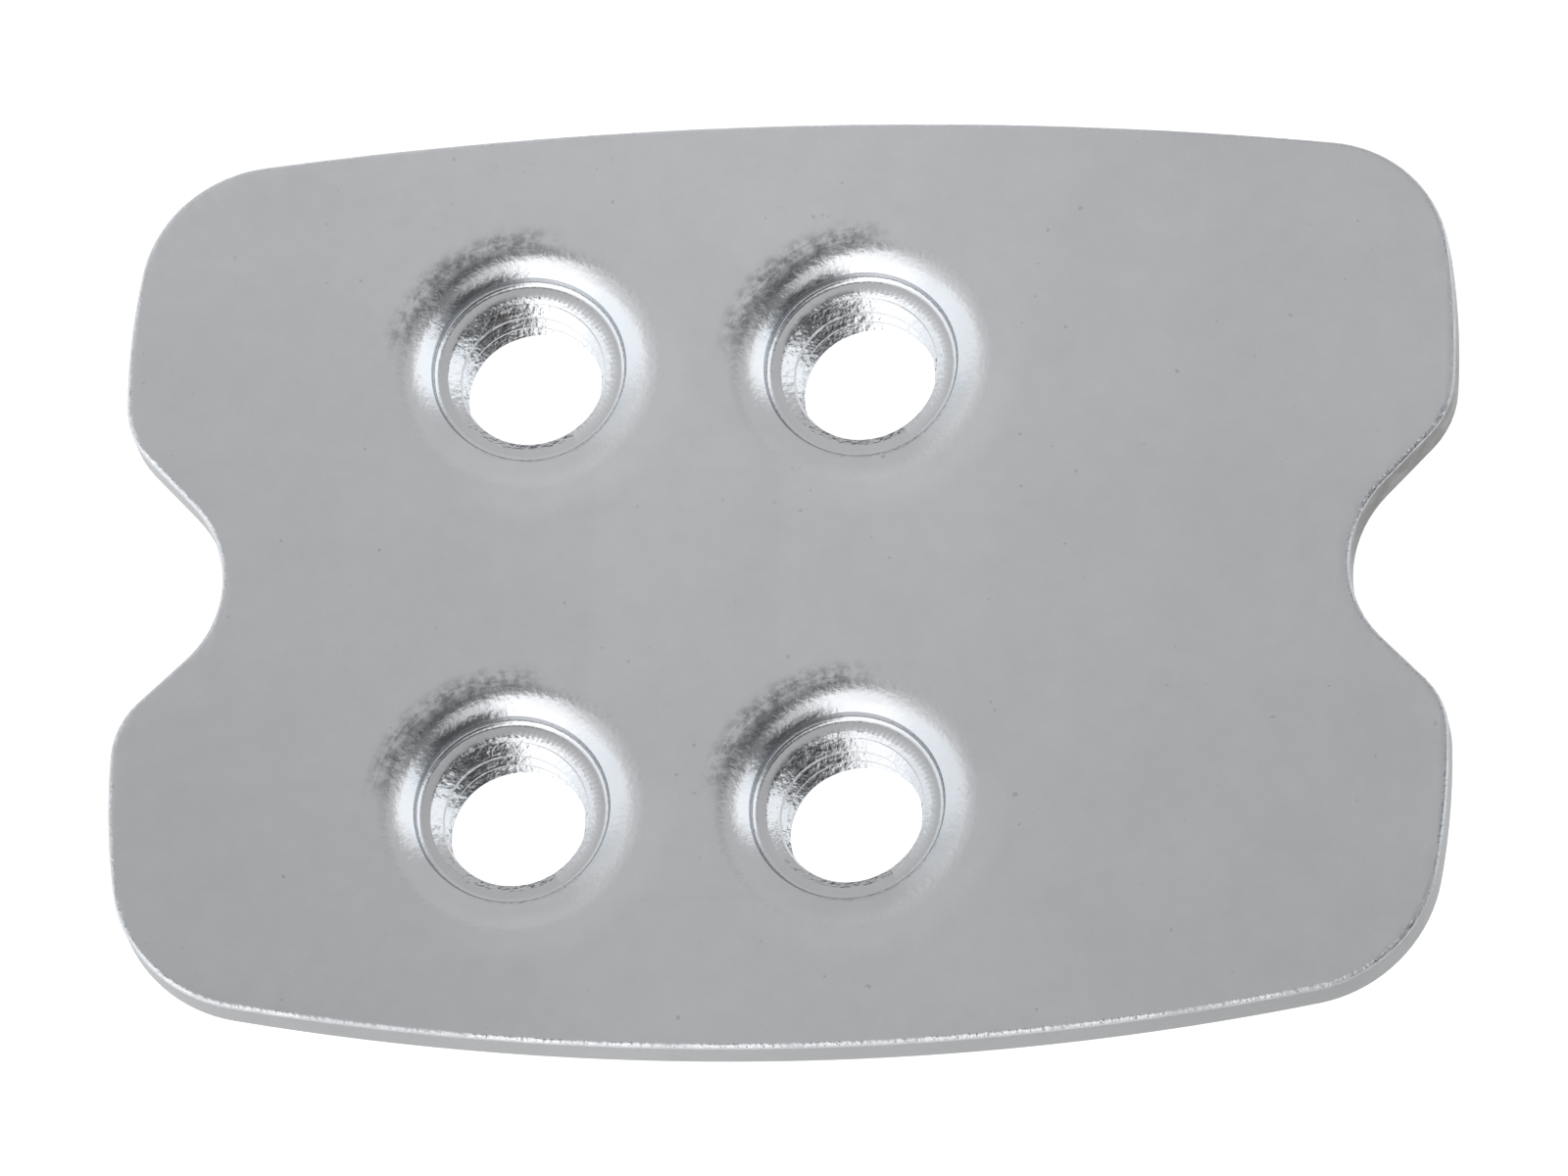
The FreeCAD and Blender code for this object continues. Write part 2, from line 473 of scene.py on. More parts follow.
def blank(plate, hole, materials):
    """The flat blank with rounded rims, its faces open where the drawn collars will join them."""
    piece = draw_outline(plate)
    radius, thickness, offset = plate["bend_radius"], plate["thickness"], hole["offset"]
    near, far = plate["length"] / 2 - offset, plate["length"] / 2 + offset
    flat_high = radius * math.asin(near / radius) + offset
    flat_low = -radius * math.asin(far / radius) + offset
    wall_slot, rim_slot = 1, 2
    edit(piece)
    bpy.ops.mesh.select_all(action="SELECT")
    bpy.ops.mesh.edge_face_add()
    # Bent, the blank comes out as long as the plate.
    bpy.ops.transform.resize(
        value=((flat_high - flat_low) / plate["length"], 1, 1), center_override=(0, 0, 0))
    bpy.ops.transform.translate(value=((flat_high + flat_low) / 2, 0, 0))
    bpy.ops.mesh.extrude_region_move(TRANSFORM_OT_translate={"value": (0, 0, -thickness)})
    # The lower outline is drawn in, so that the bent plate's wall stands upright.
    bpy.ops.transform.resize(
        value=(radius / (radius + thickness), 1, 1), center_override=(offset, 0, 0))
    face_outwards()
    leave()
    for material in materials:
        piece.data.materials.append(material)

    edit(piece)
    choose(piece, "FACE", lambda face: abs(face.normal.z) < 0.5)
    paint(piece, wall_slot)
    choose(piece, "EDGE", lambda edge: abs(edge.verts[0].co.z - edge.verts[1].co.z) < LEVEL)
    bpy.ops.mesh.bevel(
        offset=plate["edge_radius"], segments=3, profile=0.5, affect="EDGES", material=rim_slot)
    # Level faces with more corners than this are the two that carry the whole outline.
    choose(piece, "FACE", lambda face: abs(face.normal.z) > 0.99 and len(face.verts) > 20)
    bpy.ops.mesh.delete(type="ONLY_FACE")
    leave()
    return piece


def draw_funnel(hole):
    """Half section of a collar's upper side, with the radii of its ring, its rounding and its brim."""
    slope = hole["funnel_slope"]
    ring, depth = hole["ring_diameter"] / 2, hole["ring_depth"]
    lip, soft, soft_slope = hole["lip_radius"], hole["brim_radius"], hole["brim_slope"]
    coin, fillet = hole["coin_slope"], hole["coin_fillet"]
    soft_drop = soft * (1 - math.cos(soft_slope))
    lip_drop = soft_drop + lip * (math.cos(soft_slope) - math.cos(slope))
    foot = Vector((ring, 0, -depth + fillet * (1 - math.cos(coin))))
    toe = Vector((ring - fillet * math.sin(coin), 0, -depth))
    lip_in = Vector((ring + (foot.z + lip_drop) / -math.tan(coin), 0, -lip_drop))
    lip_out = Vector((lip_in.x + lip * (math.sin(slope) - math.sin(soft_slope)), 0, -soft_drop))
    lip_centre = lip_in + lip * Vector((math.sin(slope), 0, -math.cos(slope)))
    soft_out = Vector((lip_out.x + soft * math.sin(soft_slope), 0, 0))
    soft_centre = soft_out - Vector((0, 0, soft))
    brim = soft_out + Vector((MARGIN, 0, 0))

    inwards, outwards = (0, 1, 0), (0, -1, 0)
    piece = start_vertex("collar", brim)
    at = line_to(brim, soft_out)
    at = arc_to(soft_centre, at, lip_out, inwards, soft * soft_slope / BRIM_STEPS)
    at = arc_to(lip_centre, at, lip_in, inwards, lip * slope / LIP_STEPS)
    at = line_to(at, foot)
    at = arc_to(toe + Vector((0, 0, fillet)), at, toe, outwards, fillet * coin / FILLET_STEPS)
    at = line_to(at, (hole["minor"] / 2 - RING_INSET, 0, -depth))
    line_to(at, (0, 0, -depth))
    leave()
    settle(piece)
    return piece, toe.x, soft_out.x, brim.x


def draw_outside(plate, hole):
    """Half section of a collar's lower side, with an end that is long enough to be levelled."""
    radius = hole["minor"] / 2 + hole["collar_wall"]
    root, under = hole["root_radius"], -plate["thickness"]
    end = -hole["ring_depth"] - hole["bore_depth"] - SPARE
    rim = Vector((radius + root + MARGIN, 0, under))
    piece = start_vertex("collar_outside", rim)
    at = line_to(rim, (radius + root, 0, under))
    root_centre, waist = (radius + root, 0, under - root), (radius, 0, under - root)
    at = arc_to(root_centre, at, waist, (0, 1, 0), root * math.pi / 2 / FILLET_STEPS)
    at = line_to(at, (radius, 0, end))
    line_to(at, (0, 0, end))
    leave()
    settle(piece)
    return piece


def drawn_collar(plate, hole, materials):
    """A collar before it is tapped, and the radius that its mesh takes up in the sheet."""
    piece, ring, rounding, brim = draw_funnel(hole)
    outside = draw_outside(plate, hole)
    for part in (piece, outside):
        turn_round(part, hole["segments"])
        leave()
    for material in materials:
        piece.data.materials.append(material)
    outside.data.materials.append(materials[0])

    def in_funnel(face):
        """Whether a face lies between the ring and the brim."""
        reach = max(math.hypot(c.x, c.y) for c in corners(face))
        return ring + SLACK < reach < rounding + SLACK

    edit(piece)
    choose(piece, "FACE", in_funnel)
    paint(piece, 1)
    leave()
    join(piece, [outside])
    return piece, brim


def bore_cutter(hole, material):
    """What the rounded mouth, the tapping hole and its chamfer take away."""
    minor, mouth, throat = hole["minor"] / 2, hole["mouth_diameter"] / 2, hole["throat_diameter"] / 2
    flare = (mouth - throat) / hole["throat_depth"]
    chamfer = hole["end_chamfer"]
    top = -hole["ring_depth"]
    end = top - hole["bore_depth"]
    piece = start_vertex("bore", (0, 0, top + OVER))
    at = line_to((0, 0, top + OVER), (mouth + OVER * flare, 0, top + OVER))
    at = line_to(at, (throat, 0, top - hole["throat_depth"]))
    at = line_to(at, (minor, 0, top - hole["lead_depth"]))
    at = line_to(at, (minor, 0, end + chamfer))
    at = line_to(at, (minor + chamfer + OVER, 0, end - OVER))
    line_to(at, (0, 0, end - OVER))
    leave()
    settle(piece)
    turn_round(piece, hole["segments"])
    face_outwards()
    leave()
    piece.data.materials.append(material)
    return piece


def thread_cutter(hole, material):
    """The groove of the thread, a right-hand helix that starts in the open above the ring."""
    minor, major, pitch = hole["minor"] / 2, hole["major"] / 2 - GROOVE_BLUNT, hole["pitch"]
    inside = minor - GROOVE_INSET
    low = -hole["ring_depth"] + GROOVE_START - THREAD_TURNS * pitch

    def half_at(radius):
        """Half the groove's width at a distance from the axis."""
        return GROOVE_SHARE * pitch - (radius - minor) * math.tan(FLANK)

    profile = [
        (inside, -half_at(inside)),
        (major, -half_at(major)),
        (major, half_at(major)),
        (inside, half_at(inside)),
    ]
    points = [Vector((radius, 0, low + height)) for radius, height in profile]
    piece = start_vertex("thread", points[0])
    for start, end in zip(points, points[1:]):
        line_to(start, end)
    bpy.ops.mesh.select_all(action="SELECT")
    bpy.ops.mesh.edge_face_add()
    leave()
    settle(piece)
    apply(piece, "SCREW", angle=math.tau, steps=THREAD_STEPS, render_steps=THREAD_STEPS,
          screw_offset=pitch, iterations=THREAD_TURNS, use_merge_vertices=False)
    edit(piece)
    weld()
    bpy.ops.mesh.select_all(action="SELECT")
    bpy.ops.mesh.fill_holes(sides=0)
    face_outwards()
    leave()
    piece.data.materials.append(material)
    return piece


def fill_level(piece, height):
    """Fills between the open edges at one height."""
    choose(piece, "EDGE", lambda edge: edge.is_boundary
           and all(abs(c.z - height) < LEVEL for c in corners(edge)))
    bpy.ops.mesh.fill(use_beauty=True)


def bend(piece, plate, hole, rim_radius):
    """Bends the flat plate across its length, with the lowest line under the middle of the bolts."""
    offset, rows, half = hole["offset"], hole["row_spacing"] / 2, hole["bolt_spacing"] / 2

    def on_collar(face):
        """Whether a face belongs to a collar, which has its own mesh already."""
        return all(math.hypot(abs(c.x - offset) - rows, abs(c.y) - half) < rim_radius + SLACK
                   for c in corners(face))

    edit(piece)
    choose(piece, "FACE", on_collar)
    bpy.ops.mesh.hide()
    for number in range(1, BEND_CUTS):
        x = (number / BEND_CUTS - 0.5) * CUT_SPAN * plate["length"]
        bpy.ops.mesh.select_all(action="SELECT")
        bpy.ops.mesh.bisect(plane_co=(x, 0, 0), plane_no=(1, 0, 0), threshold=SLACK)
    bpy.ops.mesh.reveal(select=False)
    leave()
    # The bend modifier turns round the object's Z, so the plate is stood on its edge for it.
    piece.location.x = -offset
    piece.rotation_euler = (math.radians(-90), 0, 0)
    settle(piece)
    places = [corner.co.x for corner in piece.data.vertices]
    span = max(places) - min(places)
    apply(piece, "SIMPLE_DEFORM", deform_method="BEND", deform_axis="Z", angle=span / plate["bend_radius"])
    piece.rotation_euler = (math.radians(90), 0, 0)
    settle(piece)


class OBJECT_OT_backing_plate(bpy.types.Operator):
    """Stamps, draws, bends, levels and taps the plate"""
    bl_idname = "object.backing_plate"
    bl_label = "Backing plate"

    def execute(self, context):
        plate, hole = millimetres(context.scene.plate_sizes), millimetres(context.scene.hole_sizes)
        satin, sheared, rim, drawn, tapped = (
            satin_zinc(), sheared_wall(), rubbed_rim(), drawn_zinc(), tapped_zinc())
        piece = blank(plate, hole, [satin, sheared, rim])
        collar, rim_radius = drawn_collar(plate, hole, [satin, drawn])
        radius, offset, half = plate["bend_radius"], hole["offset"], hole["bolt_spacing"] / 2
        tilt = math.asin(hole["row_spacing"] / 2 / radius)
        bolts = [(row, side) for row in (-1, 1) for side in (-1, 1)]
        flat_places = [((offset + row * radius * tilt, side * half, 0), 0) for row, side in bolts]
        join(piece, copies(collar, flat_places))
        edit(piece)
        fill_level(piece, 0)
        fill_level(piece, -plate["thickness"])
        weld()
        face_outwards()
        leave()
        bend(piece, plate, hole, rim_radius)

        # The collar ends are levelled to the plane that the plate stands on.
        height = (radius + hole["ring_depth"] + hole["bore_depth"]) * math.cos(tilt)
        piece.location = (offset, 0, height - radius)
        settle(piece)
        edit(piece)
        bpy.ops.mesh.select_all(action="SELECT")
        bpy.ops.mesh.bisect(
            plane_co=(0, 0, 0), plane_no=(0, 0, 1), use_fill=True, clear_inner=True, threshold=0.0001)
        choose(piece, "EDGE", lambda edge: all(abs(c.z) < WELD for c in corners(edge)))
        bpy.ops.mesh.bevel(offset=END_BEVEL, segments=2, profile=0.5, affect="EDGES")
        leave()

        level = height - radius * math.cos(tilt)
        places = [((offset + row * radius * math.sin(tilt), side * half, level), -row * tilt)
                  for row, side in bolts]
        for cutter in (bore_cutter(hole, tapped), thread_cutter(hole, tapped)):
            tools, *others = copies(cutter, places)
            join(tools, others)
            apply(piece, "BOOLEAN", operation="DIFFERENCE", object=tools,
                  solver="EXACT", material_mode="TRANSFER")
            only(tools)
            bpy.ops.object.delete()
        edit(piece)
        weld()
        leave()
        only(piece)
        bpy.ops.object.shade_smooth_by_angle(angle=SHARP)
        apply(piece, "WEIGHTED_NORMAL", keep_sharp=True, weight=50)
        piece.scale = (1 / MM, 1 / MM, 1 / MM)
        settle(piece)
        piece.name = "backing_plate"
        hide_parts("threaded_plate")
        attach(piece, "root")
        return {"FINISHED"}


def group_tree(name, inputs, outputs):
    """A new shader node group with these sockets, given as name, kind and default."""
    tree = bpy.data.node_groups.new(name, "ShaderNodeTree")
    for label, kind, default in inputs:
        socket = tree.interface.new_socket(name=label, in_out="INPUT", socket_type=kind)
        if default is not None:
            socket.default_value = default
    for label, kind in outputs:
        tree.interface.new_socket(name=label, in_out="OUTPUT", socket_type=kind)
    return tree


def add(tree, kind, **values):
    """A node with these settings."""
    node = tree.nodes.new(kind)
    for key, value in values.items():
        setattr(node, key, value)
    return node


def math_node(tree, operation, first, second=None, third=None):
    """A math node on sockets or numbers, giving its result."""
    node = add(tree, "ShaderNodeMath", operation=operation)
    for place, value in enumerate((first, second, third)):
        if value is None:
            continue
        if isinstance(value, (int, float)):
            node.inputs[place].default_value = value
        else:
            tree.links.new(value, node.inputs[place])
    return node.outputs[0]


def noise(tree, place, scale, detail, roughness):
    """Noise on a place, as a value round 0.5."""
    node = add(tree, "ShaderNodeTexNoise")
    node.inputs["Scale"].default_value = scale
    node.inputs["Detail"].default_value = detail
    node.inputs["Roughness"].default_value = roughness
    tree.links.new(place, node.inputs["Vector"])
    return node.outputs["Fac"]


def ramp(tree, value, low, high, to_low=0.0, to_high=1.0):
    """A value brought from one range to another, held at its ends."""
    node = add(tree, "ShaderNodeMapRange", clamp=True, interpolation_type="SMOOTHSTEP")
    tree.links.new(value, node.inputs["Value"])
    for label, number in (("From Min", low), ("From Max", high), ("To Min", to_low), ("To Max", to_high)):
        node.inputs[label].default_value = number
    return node.outputs["Result"]


def product(tree, first, *others):
    """Values multiplied with each other."""
    for other in others:
        first = math_node(tree, "MULTIPLY", first, other)
    return first


def band(tree, value, gone_below, full_from, full_to, gone_above):
    """1 within a band of values, fading to 0 on both sides."""
    return product(tree, ramp(tree, value, gone_above, full_to), ramp(tree, value, gone_below, full_from))


def mix(tree, amount, first, second):
    """Two colours mixed."""
    node = add(tree, "ShaderNodeMix", data_type="RGBA")
    for label, value in (("Factor", amount), ("A", first), ("B", second)):
        socket = node.inputs[label]
        if isinstance(value, (tuple, list)):
            socket.default_value = (*value, 1.0)
        elif isinstance(value, (int, float)):
            socket.default_value = value
        else:
            tree.links.new(value, socket)
    return node.outputs["Result"]


def split(tree, place):
    """The X, Y and Z of a place."""
    parts = add(tree, "ShaderNodeSeparateXYZ")
    tree.links.new(place, parts.inputs[0])
    return parts.outputs


def grouped(tree, inner, place):
    """A node group at work on a place."""
    node = add(tree, "ShaderNodeGroup", node_tree=inner)
    tree.links.new(place, node.inputs["Vector"])
    return node


def hole_places():
    """Where a point lies round its collar: distance from the axis, share towards the side with painted shade,
    angle.
    """
    if "hole_places" in bpy.data.node_groups:
        return bpy.data.node_groups["hole_places"]
    holes = bpy.context.scene.hole_sizes
    tree = group_tree("hole_places", [("Vector", "NodeSocketVector", None)], [
        ("Radius", "NodeSocketFloat"), ("Towards", "NodeSocketFloat"), ("Angle", "NodeSocketFloat")])
    ends = add(tree, "NodeGroupInput")
    out = add(tree, "NodeGroupOutput")
    x, y = split(tree, ends.outputs["Vector"])[:2]
    local = []
    for part, middle, half in ((x, holes.offset, holes.row_spacing / 2), (y, 0.0, holes.bolt_spacing / 2)):
        place = math_node(tree, "SUBTRACT", part, middle)
        side = math_node(tree, "SIGN", place)
        local.append(math_node(tree, "MULTIPLY_ADD", side, -half, place))
    x, y = local
    radius = math_node(tree, "SQRT", math_node(tree, "ADD", product(tree, x, x), product(tree, y, y)))
    # The lean is a share of the radius: 1 on the side with painted shade, -1 opposite. The axis itself is
    # kept finite.
    lean = math_node(tree, "MULTIPLY_ADD", y, SHADE_SIDE[1], product(tree, x, SHADE_SIDE[0]))
    towards = math_node(tree, "DIVIDE", lean, math_node(tree, "MAXIMUM", radius, 0.0001))
    tree.links.new(radius, out.inputs["Radius"])
    tree.links.new(towards, out.inputs["Towards"])
    tree.links.new(math_node(tree, "ARCTAN2", y, x), out.inputs["Angle"])
    return tree


def zinc_surface():
    """The skin of barrel-plated zinc: clouds, tumbled grain, pin specks, painted shade towards one edge and
    beside the collars, and painted light on the collars' other side.
    """
    if "zinc_surface" in bpy.data.node_groups:
        return bpy.data.node_groups["zinc_surface"]
    plate = bpy.context.scene.plate_sizes
    tree = group_tree("zinc_surface", [
        ("Vector", "NodeSocketVector", None),
        ("Light", "NodeSocketColor", (1, 1, 1, 1)),
        ("Dull", "NodeSocketColor", (1, 1, 1, 1)),
        # This colour serves the pin specks and the painted shade.
        ("Grime and shade", "NodeSocketColor", (0, 0, 0, 1)),
        ("Grain", "NodeSocketFloat", 1.0),
        ("Dimples", "NodeSocketFloat", 0.0),
    ], [("Color", "NodeSocketColor"), ("Cloud", "NodeSocketFloat"), ("Height", "NodeSocketFloat")])
    ends = add(tree, "NodeGroupInput").outputs
    out = add(tree, "NodeGroupOutput").inputs
    place = ends["Vector"]
    x, y, z = split(tree, place)
    cloud = ramp(tree, noise(tree, place, *CLOUDS), 0.35, 0.68)
    colour = mix(tree, product(tree, cloud, CLOUD_SHARE), ends["Light"], ends["Dull"])
    # Painted shade: the colour grows a little darker towards one long edge and one end.
    across = ramp(tree, y, plate.width * 0.6, -plate.width * 0.6, 1.0, 0.875)
    along = ramp(tree, x, -plate.length * 0.12, plate.length * 0.50, 1.04, 0.83)
    mottle = math_node(tree, "MULTIPLY_ADD", noise(tree, place, *MOTTLE), 0.09, 0.955)
    shade = product(tree, across, along, mottle)

    hole = grouped(tree, hole_places(), place)
    radius, towards = hole.outputs["Radius"], hole.outputs["Towards"]
    # Marks of the draw punch run round the collar.
    round_it = add(tree, "ShaderNodeCombineXYZ")
    tree.links.new(product(tree, hole.outputs["Angle"], DRAG_PER_ANGLE), round_it.inputs[0])
    tree.links.new(product(tree, radius, DRAG_PER_METRE), round_it.inputs[1])
    drag = noise(tree, round_it.outputs[0], *DRAG)
    blot = math_node(tree, "MULTIPLY_ADD", noise(tree, place, *BLOTS), 0.75, product(tree, drag, 0.25))
    # Painted shade, mottled like grime, lies in a ring outside each funnel and inside each bore, and none of
    # it on the underside.
    outside = product(tree, band(tree, radius, *SHADE_RING), ramp(tree, towards, 0.58, 0.88, 0.0, 0.85),
                      ramp(tree, z, *UPPER_SIDE))
    inside = product(tree, ramp(tree, radius, *BORE_SHADE), ramp(tree, towards, 0.74, 0.95, 0.0, 0.9),
                     ramp(tree, z, *ABOVE_COLLAR_END))
    near = math_node(tree, "MAXIMUM", outside, inside)
    painted_shade = product(tree, near, ramp(tree, blot, 0.38, 0.66))
    colour = mix(tree, painted_shade, colour, ends["Grime and shade"])
    # Painted light: a ring a little brighter on the side opposite the painted shade.
    painted_light = product(tree, band(tree, radius, *PAINTED_LIGHT_RING), ramp(tree, towards, -0.2, -0.9))
    shade = product(tree, shade, math_node(tree, "MULTIPLY_ADD", painted_light, 0.06, 1.0))
    speck = ramp(tree, noise(tree, place, *SPECKS), 0.77, 0.82, 0.0, 0.3)
    colour = mix(tree, speck, colour, ends["Grime and shade"])
    shaded = add(tree, "ShaderNodeVectorMath", operation="SCALE")
    tree.links.new(colour, shaded.inputs[0])
    tree.links.new(shade, shaded.inputs["Scale"])
    tree.links.new(shaded.outputs[0], out["Color"])
    tree.links.new(cloud, out["Cloud"])

    grain = product(tree, noise(tree, place, *GRAIN), ends["Grain"])
    dimple = product(tree, noise(tree, place, *DIMPLES), ends["Dimples"])
    dragged = product(tree, drag, ends["Dimples"], near)
    height = math_node(tree, "ADD", grain, dimple)
    tree.links.new(math_node(tree, "MULTIPLY_ADD", dragged, 0.4, height), out["Height"])
    return tree


def zinc_material(name, roughness, grain, dimples=0.0, light=None,
                  smooth_lip=False, patchy=0.0, shaded_notch=0.0):
    """A zinc finish that reads the plate's own coordinates."""
    colours = bpy.context.scene.plate_colours
    material = bpy.data.materials.new(name)
    material.use_nodes = True
    tree = material.node_tree
    shader = tree.nodes["Principled BSDF"]
    place = add(tree, "ShaderNodeTexCoord").outputs["Object"]
    skin = grouped(tree, zinc_surface(), place)
    light = light or colours.zinc
    dull = [colours.dulling * part for part in light]
    for label, colour in (("Light", light), ("Dull", dull), ("Grime and shade", colours.grime_and_shade)):
        skin.inputs[label].default_value = (*colour, 1)
    skin.inputs["Grain"].default_value = grain
    skin.inputs["Dimples"].default_value = dimples
    colour = skin.outputs["Color"]
    if shaded_notch:
        # Painted shade darkens one flank of a notch.
        x, y = split(tree, place)[:2]
        patches = ramp(tree, noise(tree, place, *NOTCH_SHADE), 0.30, 0.60, 0.4, 1.0)
        notch_shade = product(tree, ramp(tree, x, *SHADED_NOTCH_ALONG), band(tree, y, *SHADED_NOTCH_ACROSS), patches)
        colour = mix(tree, product(tree, notch_shade, shaded_notch), colour, tuple(colours.grime_and_shade))
    tree.links.new(colour, shader.inputs["Base Color"])
    shader.inputs["Metallic"].default_value = 1.0
    rough = math_node(tree, "MULTIPLY_ADD", skin.outputs["Cloud"], 0.02, roughness)
    if smooth_lip:
        # The punch has polished the funnel, and the polish fades out at its lip.
        radius = grouped(tree, hole_places(), place).outputs["Radius"]
        rough = math_node(tree, "ADD", rough, ramp(tree, radius, *POLISH_END, 0.0, 0.19))
    if patchy:
        rub = ramp(tree, noise(tree, place, *RIM_WEAR), 0.42, 0.60, 0.0, patchy)
        rough = math_node(tree, "ADD", rough, rub)
    tree.links.new(rough, shader.inputs["Roughness"])
    relief = add(tree, "ShaderNodeBump")
    relief.inputs["Strength"].default_value = 1.0
    relief.inputs["Distance"].default_value = RELIEF_DEPTH
    tree.links.new(skin.outputs["Height"], relief.inputs["Height"])
    tree.links.new(relief.outputs["Normal"], shader.inputs["Normal"])
    return material


def satin_zinc():
    """The plated faces."""
    return zinc_material("satin_zinc", roughness=0.36, grain=0.35)


def sheared_wall():
    """The wall that the blanking die left, with painted shade on one flank of a notch."""
    light = bpy.context.scene.plate_colours.sheared
    return zinc_material(
        "sheared_wall", roughness=0.42, grain=0.8, dimples=2.0, light=light, shaded_notch=0.95)


def rubbed_rim():
    """The rounding between face and wall, polished in patches."""
    return zinc_material("rubbed_rim", roughness=0.22, grain=1.0, dimples=4.5, patchy=0.24)


def drawn_zinc():
    """The funnel, smoothed by the draw punch."""
    return zinc_material("drawn_zinc", roughness=0.16, grain=0.25, dimples=0.9, smooth_lip=True)


def tapped_zinc():
    """The bore and its thread."""
    return zinc_material("tapped_zinc", roughness=0.16, grain=0.4, dimples=2.8)


def white_stage():
    """The floor: white to the camera and in reflections, with the plate's own shadow on it."""
    colours, stage = bpy.context.scene.plate_colours, bpy.context.scene.stage_sizes
    bpy.ops.object.select_all(action="DESELECT")
    bpy.ops.mesh.primitive_plane_add(size=stage.floor_size, location=(0, 0, -FLOOR_GAP))
    floor = bpy.context.object
    floor.name = "floor"
    material = bpy.data.materials.new("pale_floor")
    material.use_nodes = True
    tree = material.node_tree
    tree.nodes.clear()
    out = add(tree, "ShaderNodeOutputMaterial")
    matt = add(tree, "ShaderNodeBsdfDiffuse")
    matt.inputs["Color"].default_value = (*colours.floor, 1)
    glow = add(tree, "ShaderNodeEmission")
    glow.inputs["Color"].default_value = (1, 1, 1, 1)
    rays = add(tree, "ShaderNodeLightPath")
    seen = math_node(tree, "ADD", rays.outputs["Is Camera Ray"], rays.outputs["Is Glossy Ray"])
    seen = math_node(tree, "ADD", seen, rays.outputs["Is Transmission Ray"])
    tree.links.new(product(tree, seen, FLOOR_GLOW), glow.inputs["Strength"])
    total = add(tree, "ShaderNodeAddShader")
    tree.links.new(matt.outputs[0], total.inputs[0])
    tree.links.new(glow.outputs[0], total.inputs[1])
    tree.links.new(total.outputs[0], out.inputs["Surface"])
    floor.data.materials.append(material)


def studio_air():
    """The world: white to the camera, and round the plate a grey studio with pale sides and a dark corner."""
    colours = bpy.context.scene.plate_colours
    world = bpy.data.worlds.new("studio")
    bpy.context.scene.world = world
    world.use_nodes = True
    tree = world.node_tree
    tree.nodes.clear()
    out = add(tree, "ShaderNodeOutputWorld")
    way = add(tree, "ShaderNodeTexCoord").outputs["Generated"]
    x, y, z = split(tree, way)

    turn = math_node(tree, "ARCTAN2", x, y)
    turn = math_node(tree, "MULTIPLY_ADD", turn, 1 / math.tau, 0.5)
    levels = []
    for stops in (WALLS, CEILING):
        node = add(tree, "ShaderNodeValToRGB")
        node.color_ramp.interpolation = "EASE"
        found = node.color_ramp.elements
        for place, level in stops:
            found.new(place).color = (level, level, level, 1)
        found.remove(found[0])
        found.remove(found[-1])
        tree.links.new(turn, node.inputs["Fac"])
        levels.append(product(tree, node.outputs["Color"], 2.0))
    wall, ceiling = levels
    # Close to the horizon nothing is darker than this, so a low view still sees grey metal.
    wall = math_node(tree, "MAXIMUM", wall, ramp(tree, z, *HORIZON))
    low = ramp(tree, z, *WALL_TOP)
    level = math_node(tree, "ADD", product(tree, wall, low),
                      product(tree, ceiling, math_node(tree, "SUBTRACT", 1.0, low)))
    overhead = add(tree, "ShaderNodeVectorMath", operation="DOT_PRODUCT")
    tree.links.new(way, overhead.inputs[0])
    overhead.inputs[1].default_value = GAP_WAY
    gap = ramp(tree, overhead.outputs["Value"], math.cos(GAP_OUTER), math.cos(GAP_INNER), 1.0, GAP_LEVEL)

    tint = mix(tree, ramp(tree, math_node(tree, "ABSOLUTE", x), *SIDES), (1, 1, 1), tuple(colours.side_light))
    air = add(tree, "ShaderNodeBackground")
    tree.links.new(tint, air.inputs["Color"])
    tree.links.new(product(tree, level, gap), air.inputs["Strength"])
    white = add(tree, "ShaderNodeBackground")
    white.inputs["Color"].default_value = (1, 1, 1, 1)
    rays = add(tree, "ShaderNodeLightPath")
    both = add(tree, "ShaderNodeMixShader")
    tree.links.new(rays.outputs["Is Camera Ray"], both.inputs[0])
    tree.links.new(air.outputs[0], both.inputs[1])
    tree.links.new(white.outputs[0], both.inputs[2])
    tree.links.new(both.outputs[0], out.inputs["Surface"])


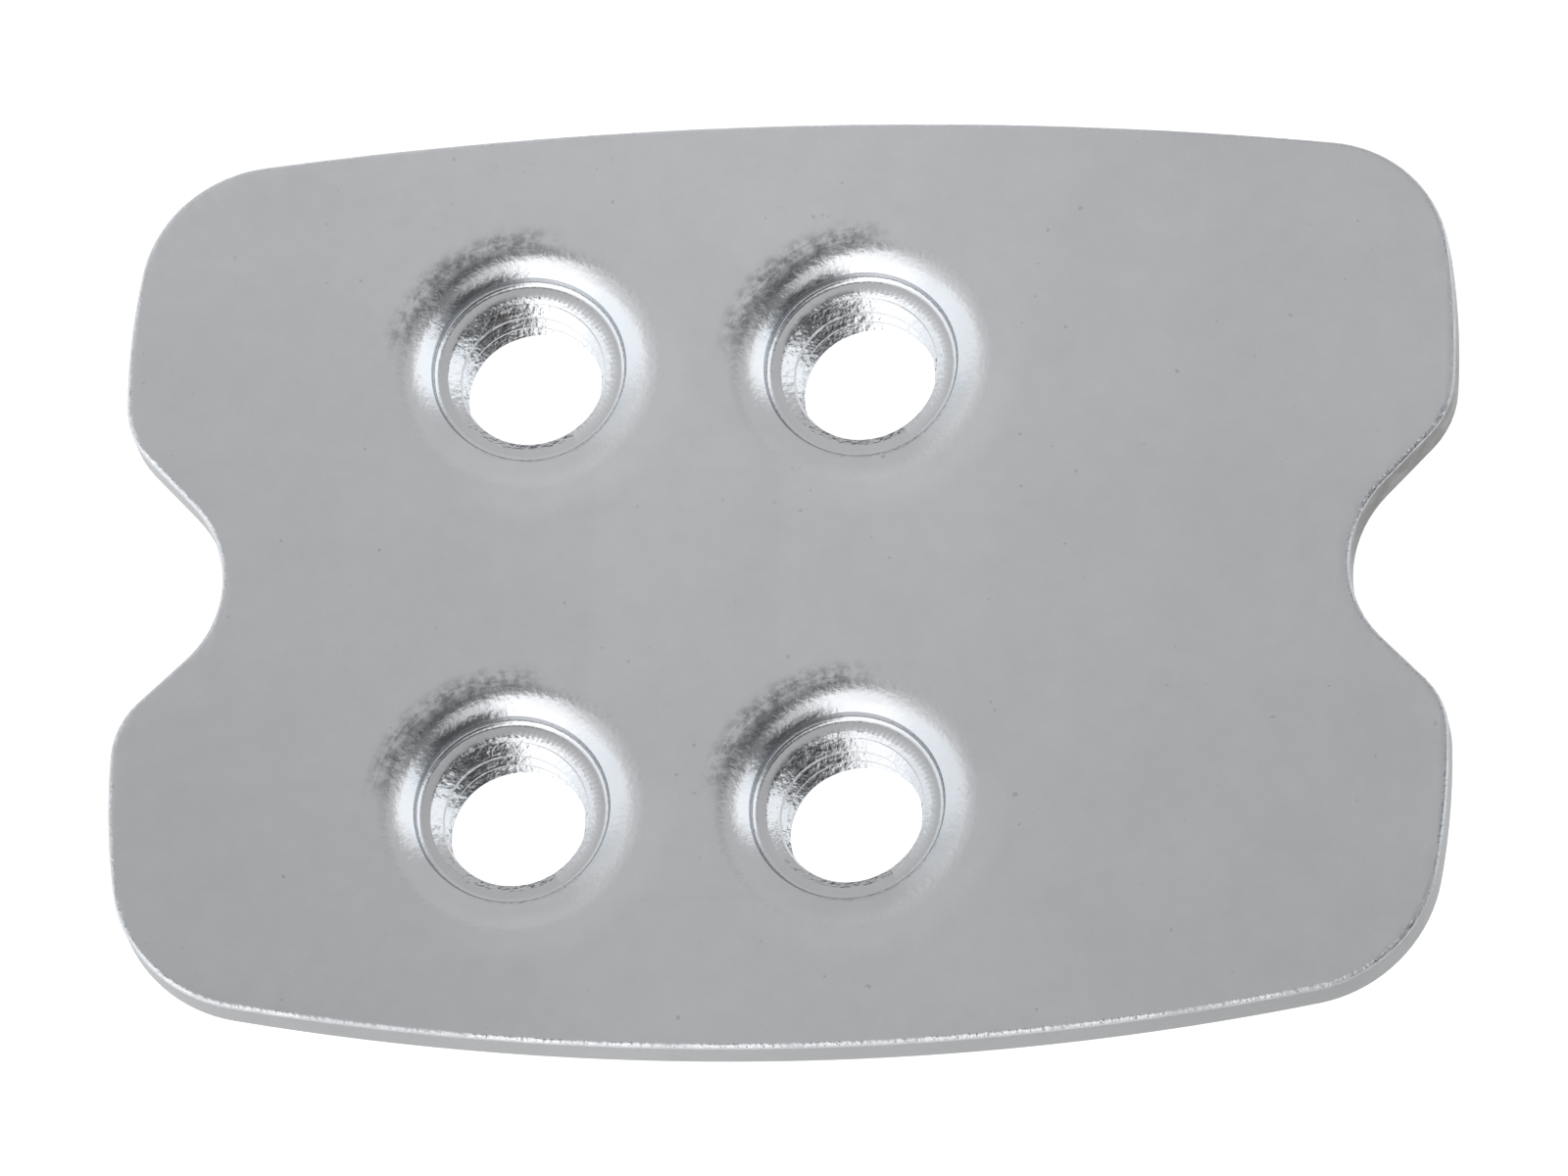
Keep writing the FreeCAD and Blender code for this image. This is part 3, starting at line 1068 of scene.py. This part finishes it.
def camera():
    """The camera at the viewing angle of the picture."""
    stage = bpy.context.scene.stage_sizes
    azimuth, elevation = stage.azimuth, stage.elevation
    towards = Vector((
        math.sin(azimuth) * math.cos(elevation),
        -math.cos(azimuth) * math.cos(elevation),
        math.sin(elevation),
    ))
    bpy.ops.object.camera_add(location=Vector(stage.target) + towards * stage.distance)
    eye = bpy.context.object
    eye.name = "camera"
    turn = (-towards).to_track_quat("-Z", "Y").to_matrix()
    eye.rotation_euler = (turn @ Matrix.Rotation(stage.roll, 3, "Z")).to_euler()
    eye.data.lens = stage.lens
    eye.data.sensor_width = SENSOR
    eye.data.clip_start = 0.01
    eye.data.clip_end = 10
    bpy.context.scene.camera = eye


class SCENE_OT_plate_stage(bpy.types.Operator):
    """Lays the floor, lights the studio and places the camera"""
    bl_idname = "scene.plate_stage"
    bl_label = "Stage"

    def execute(self, context):
        context.scene.view_settings.view_transform = "Standard"
        white_stage()
        studio_air()
        camera()
        return {"FINISHED"}


class VIEW3D_PT_backing_plate(bpy.types.Panel):
    """Lists the piece, the stage and their sizes"""
    bl_label = "Backing plate"
    bl_space_type = "VIEW_3D"
    bl_region_type = "UI"
    bl_category = "Backing plate"

    def draw(self, context):
        scene = context.scene
        for label, group, operator in (
            ("Plate", scene.plate_sizes, None),
            ("Holes", scene.hole_sizes, None),
            ("Colours", scene.plate_colours, "object.backing_plate"),
            ("Stage", scene.stage_sizes, "scene.plate_stage"),
        ):
            box = self.layout.box()
            box.label(text=label)
            for key in group.bl_rna.properties.keys():
                if key not in ("rna_type", "name"):
                    box.prop(group, key)
            if operator:
                box.operator(operator)


CLASSES = (
    PlateSizes, HoleSizes, PlateColours, StageSizes,
    OBJECT_OT_backing_plate, SCENE_OT_plate_stage, VIEW3D_PT_backing_plate,
)


def register():
    """Adds the classes, and the groups of sizes and colours to the scene."""
    for each in CLASSES:
        bpy.utils.register_class(each)
    bpy.types.Scene.plate_sizes = PointerProperty(type=PlateSizes)
    bpy.types.Scene.hole_sizes = PointerProperty(type=HoleSizes)
    bpy.types.Scene.plate_colours = PointerProperty(type=PlateColours)
    bpy.types.Scene.stage_sizes = PointerProperty(type=StageSizes)


def unregister():
    """Takes away what register() added."""
    for label in ("plate_sizes", "hole_sizes", "plate_colours", "stage_sizes"):
        delattr(bpy.types.Scene, label)
    for each in reversed(CLASSES):
        bpy.utils.unregister_class(each)


def main():
    """Builds the piece and the stage."""
    register()
    bpy.ops.object.backing_plate()
    bpy.ops.scene.plate_stage()


if __name__ == "__main__":
    main()
